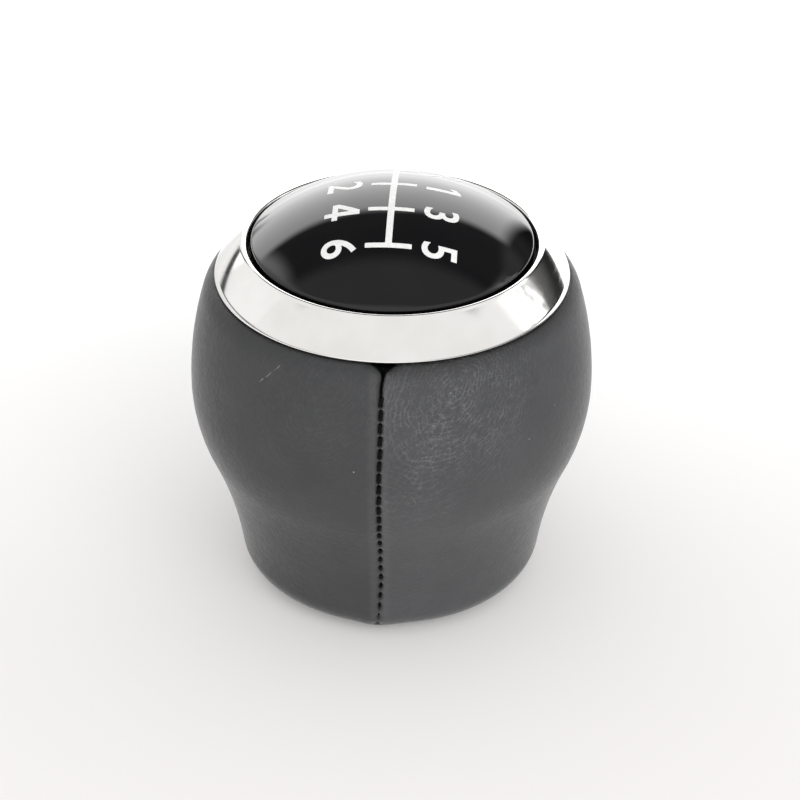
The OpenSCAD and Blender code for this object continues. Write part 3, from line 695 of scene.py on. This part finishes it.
# Two numerals are drawn, in millimetres. Each then has its place: how far its middle lies towards
# the car's front, its row, and how much wider it is made.
drawn = {"1": [[(0.37, 0), (0.37, 4.4), (-0.2, 4.4), (-1.2, 3.75), (-1.2, 2.95), (-0.42, 3.45),
                (-0.42, 0)]],
         "4": [[(1.82, 0), (2.62, 0), (2.62, 0.95), (3.4, 0.95), (3.4, 1.65), (2.62, 1.65),
                (2.62, 4.4), (1.72, 4.4), (0, 1.72), (0, 0.95), (1.82, 0.95)],
               [(0.86, 1.65), (1.82, 1.65), (1.82, 3.15)]]}
places = [("1", 6.3, 2, 1), ("3", 6.3, 1, 1), ("5", 6.3, 0, 0.94), ("2", -6.2, 2, 1.04),
          ("4", -6.15, 1, 1), ("6", -6.15, 0, 1.04), ("R", 6.3, 3, 1)]
numerals = bmesh.new()
for text, forward, row, wide in places:
    glyph = flat_numeral(text, drawn.get(text, []))
    bmesh.ops.remove_doubles(glyph, verts=glyph.verts, dist=0.0005)
    lows = [min(spot.co[axis] for spot in glyph.verts) for axis in range(2)]
    highs = [max(spot.co[axis] for spot in glyph.verts) for axis in range(2)]
    scale = numeral_height / (highs[1] - lows[1])
    for spot in glyph.verts:
        right = (spot.co.x - (lows[0] + highs[0]) / 2) * scale * wide
        up = (spot.co.y - (lows[1] + highs[1]) / 2) * scale
        spot.co = (forward + up, gate_rows[row] - right, 0)
    lay_on_dome(glyph, print_thickness)
    printed = bpy.data.meshes.new("numeral")
    glyph.to_mesh(printed)
    glyph.free()
    numerals.from_mesh(printed)
settle(numerals, "diagram_numerals", marking, "marking", sharp=40)


# The stage: a pale table that runs far back, and soft light from all round, which is brightest
# low behind the knob and falls off over the top.
def rays(tree, kind):
    """1 for rays of that kind, such as Is Camera Ray, and 0 for all others."""
    return Wire(tree.nodes.new("ShaderNodeLightPath").outputs[kind])


floor = bmesh.new()
bmesh.ops.create_grid(floor, x_segments=1, y_segments=1, size=3)
data = bpy.data.meshes.new("table")
floor.to_mesh(data)
floor.free()
table = bpy.data.objects.new("table", data)
bpy.context.scene.collection.objects.link(table)

paper, shader, points = finish("paper", Roughness=0.9, Specular_IOR_Level=0.1)
table.data.materials.append(paper)
aside, back = points.axis(0), points.axis(1)
# The table is painted paler further back, a painted pool of the light from behind the knob.
feed(shader, Base_Color=back.tint((0.795, 0.775, 0.765, 1), (0.91, 0.91, 0.91, 1),
                                  -40 * MM, 120 * MM))

# What the camera sees of the table glows a little. What gloss mirrors of it glows more the
# further back it lies, but not on the left, and on the right it is dark up to behind the knob.
seen = rays(paper.node_tree, "Is Camera Ray")
mirrored = rays(paper.node_tree, "Is Glossy Ray")
left_out = back.rise(20 * MM, 80 * MM) * (aside + back * 0.42).fall(-40 * MM, 10 * MM, 0.9)
far_glow = back.rise(60 * MM, 450 * MM, 0.35, 1.8) * (1 - left_out)
glow = seen * back.rise(-60 * MM, 160 * MM, 0.14, 0.3) + mirrored * far_glow
feed(shader, Emission_Color=glow)
shader.inputs["Emission Strength"].default_value = 1.0
dark = mirrored * aside.rise(70 * MM, 95 * MM) * back.fall(60 * MM, 130 * MM, 0.9)
cover(paper, shader, dark, (0.03, 0.03, 0.032, 1))

scene = bpy.context.scene
scene.view_settings.view_transform = "Standard"
world = bpy.data.worlds.new("studio")
scene.world = world
world.use_nodes = True
sky = world.node_tree
background = sky.nodes["Background"]
background.inputs["Color"].default_value = (1, 1, 1, 1)

# A direction is known by how far right and up it points, and by its angle over the knob, in
# degrees from the horizon behind. The bright light there is held down at far left, and dimmer
# at both ends of the horizon.
direction = Wire(sky.nodes.new("ShaderNodeTexCoord").outputs["Generated"])
right, rear, up = (direction.axis(number) for number in range(3))
over = up.math("ARCTAN2", up, rear) * (180 / pi)
far_left = right.fall(-0.76, -0.68)
bright = over.rise(50, 90, 2.9, 0.98)
bright = bright + far_left * (bright.math("MINIMUM", bright, 1.04) - bright)
horizon = up.fall(0.06, 0.14) * right.math("ABSOLUTE", right).rise(0.42, 0.52)
bright = bright + horizon * (right.rise(-0.3, 0.3, 0.9, 0.66) - bright)

# Gloss also mirrors a dark panel overhead, whose rear edge is curved, and one low on the right,
# which is darkest at its foot and ragged at its outer end. A thin dark streak lies on the horizon.
dark_edge = 41 - right * right * 12 - right.math("MAXIMUM", right, 0.0) * 12
overhead = (over - dark_edge).rise(-4, 4) * over.fall(101, 108)
overhead = overhead * right.rise(-0.76, -0.62) * right.fall(0.62, 0.74)
mirrored = bright + overhead * (over.rise(70, 82, 0.13, 0.46) - bright)
beside = (right - over * 0.006).rise(0.27, 0.36) * over.rise(-4, 3) * over.fall(52, 66)
beside = beside * (up + right * 2).fall(1.92, 2.0)
beside_tone = over.rise(6, 24, 0.02, 0.12) + over.rise(26, 40, 0.0, 0.25)
mirrored = mirrored + beside * (beside_tone - mirrored)
shreds = direction.noise(0.08, detail=1).rise(0.3, 0.65) * over.rise(14, 30) * over.fall(60, 70)
shreds = shreds * (up + right * 2).fall(2.12, 2.2) * right.rise(0.62, 0.7)
mirrored = mirrored + shreds * (mirrored.math("MINIMUM", mirrored, 0.5) - mirrored)
streak = up.rise(-0.02, 0.03) * up.fall(0.06, 0.1) * right.fall(-0.65, -0.5)
mirrored = mirrored + streak * (0.08 - mirrored)

# Light that isn't mirrored is even, and the camera itself sees plain white.
camera_ray, glossy_ray = rays(sky, "Is Camera Ray"), rays(sky, "Is Glossy Ray")
level = glossy_ray.add("Mix", {"data_type": "FLOAT"}, {0: glossy_ray, 2: 0.85, 3: mirrored})
level = camera_ray.add("Mix", {"data_type": "FLOAT"}, {0: camera_ray, 2: level, 3: 1.0})
sky.links.new(level.socket, background.inputs["Strength"])

light = bpy.data.lights.new("front_lamp", "AREA")
light.size = 1.3
light.energy = 9.0
lamp = bpy.data.objects.new("front_lamp", light)
lamp.location = (0.5, -1.1, 0.6)
to_knob = Vector((0, 0, 0.03)) - lamp.location
lamp.rotation_euler = to_knob.to_track_quat("-Z", "Y").to_euler()
lamp.visible_glossy = False
scene.collection.objects.link(lamp)
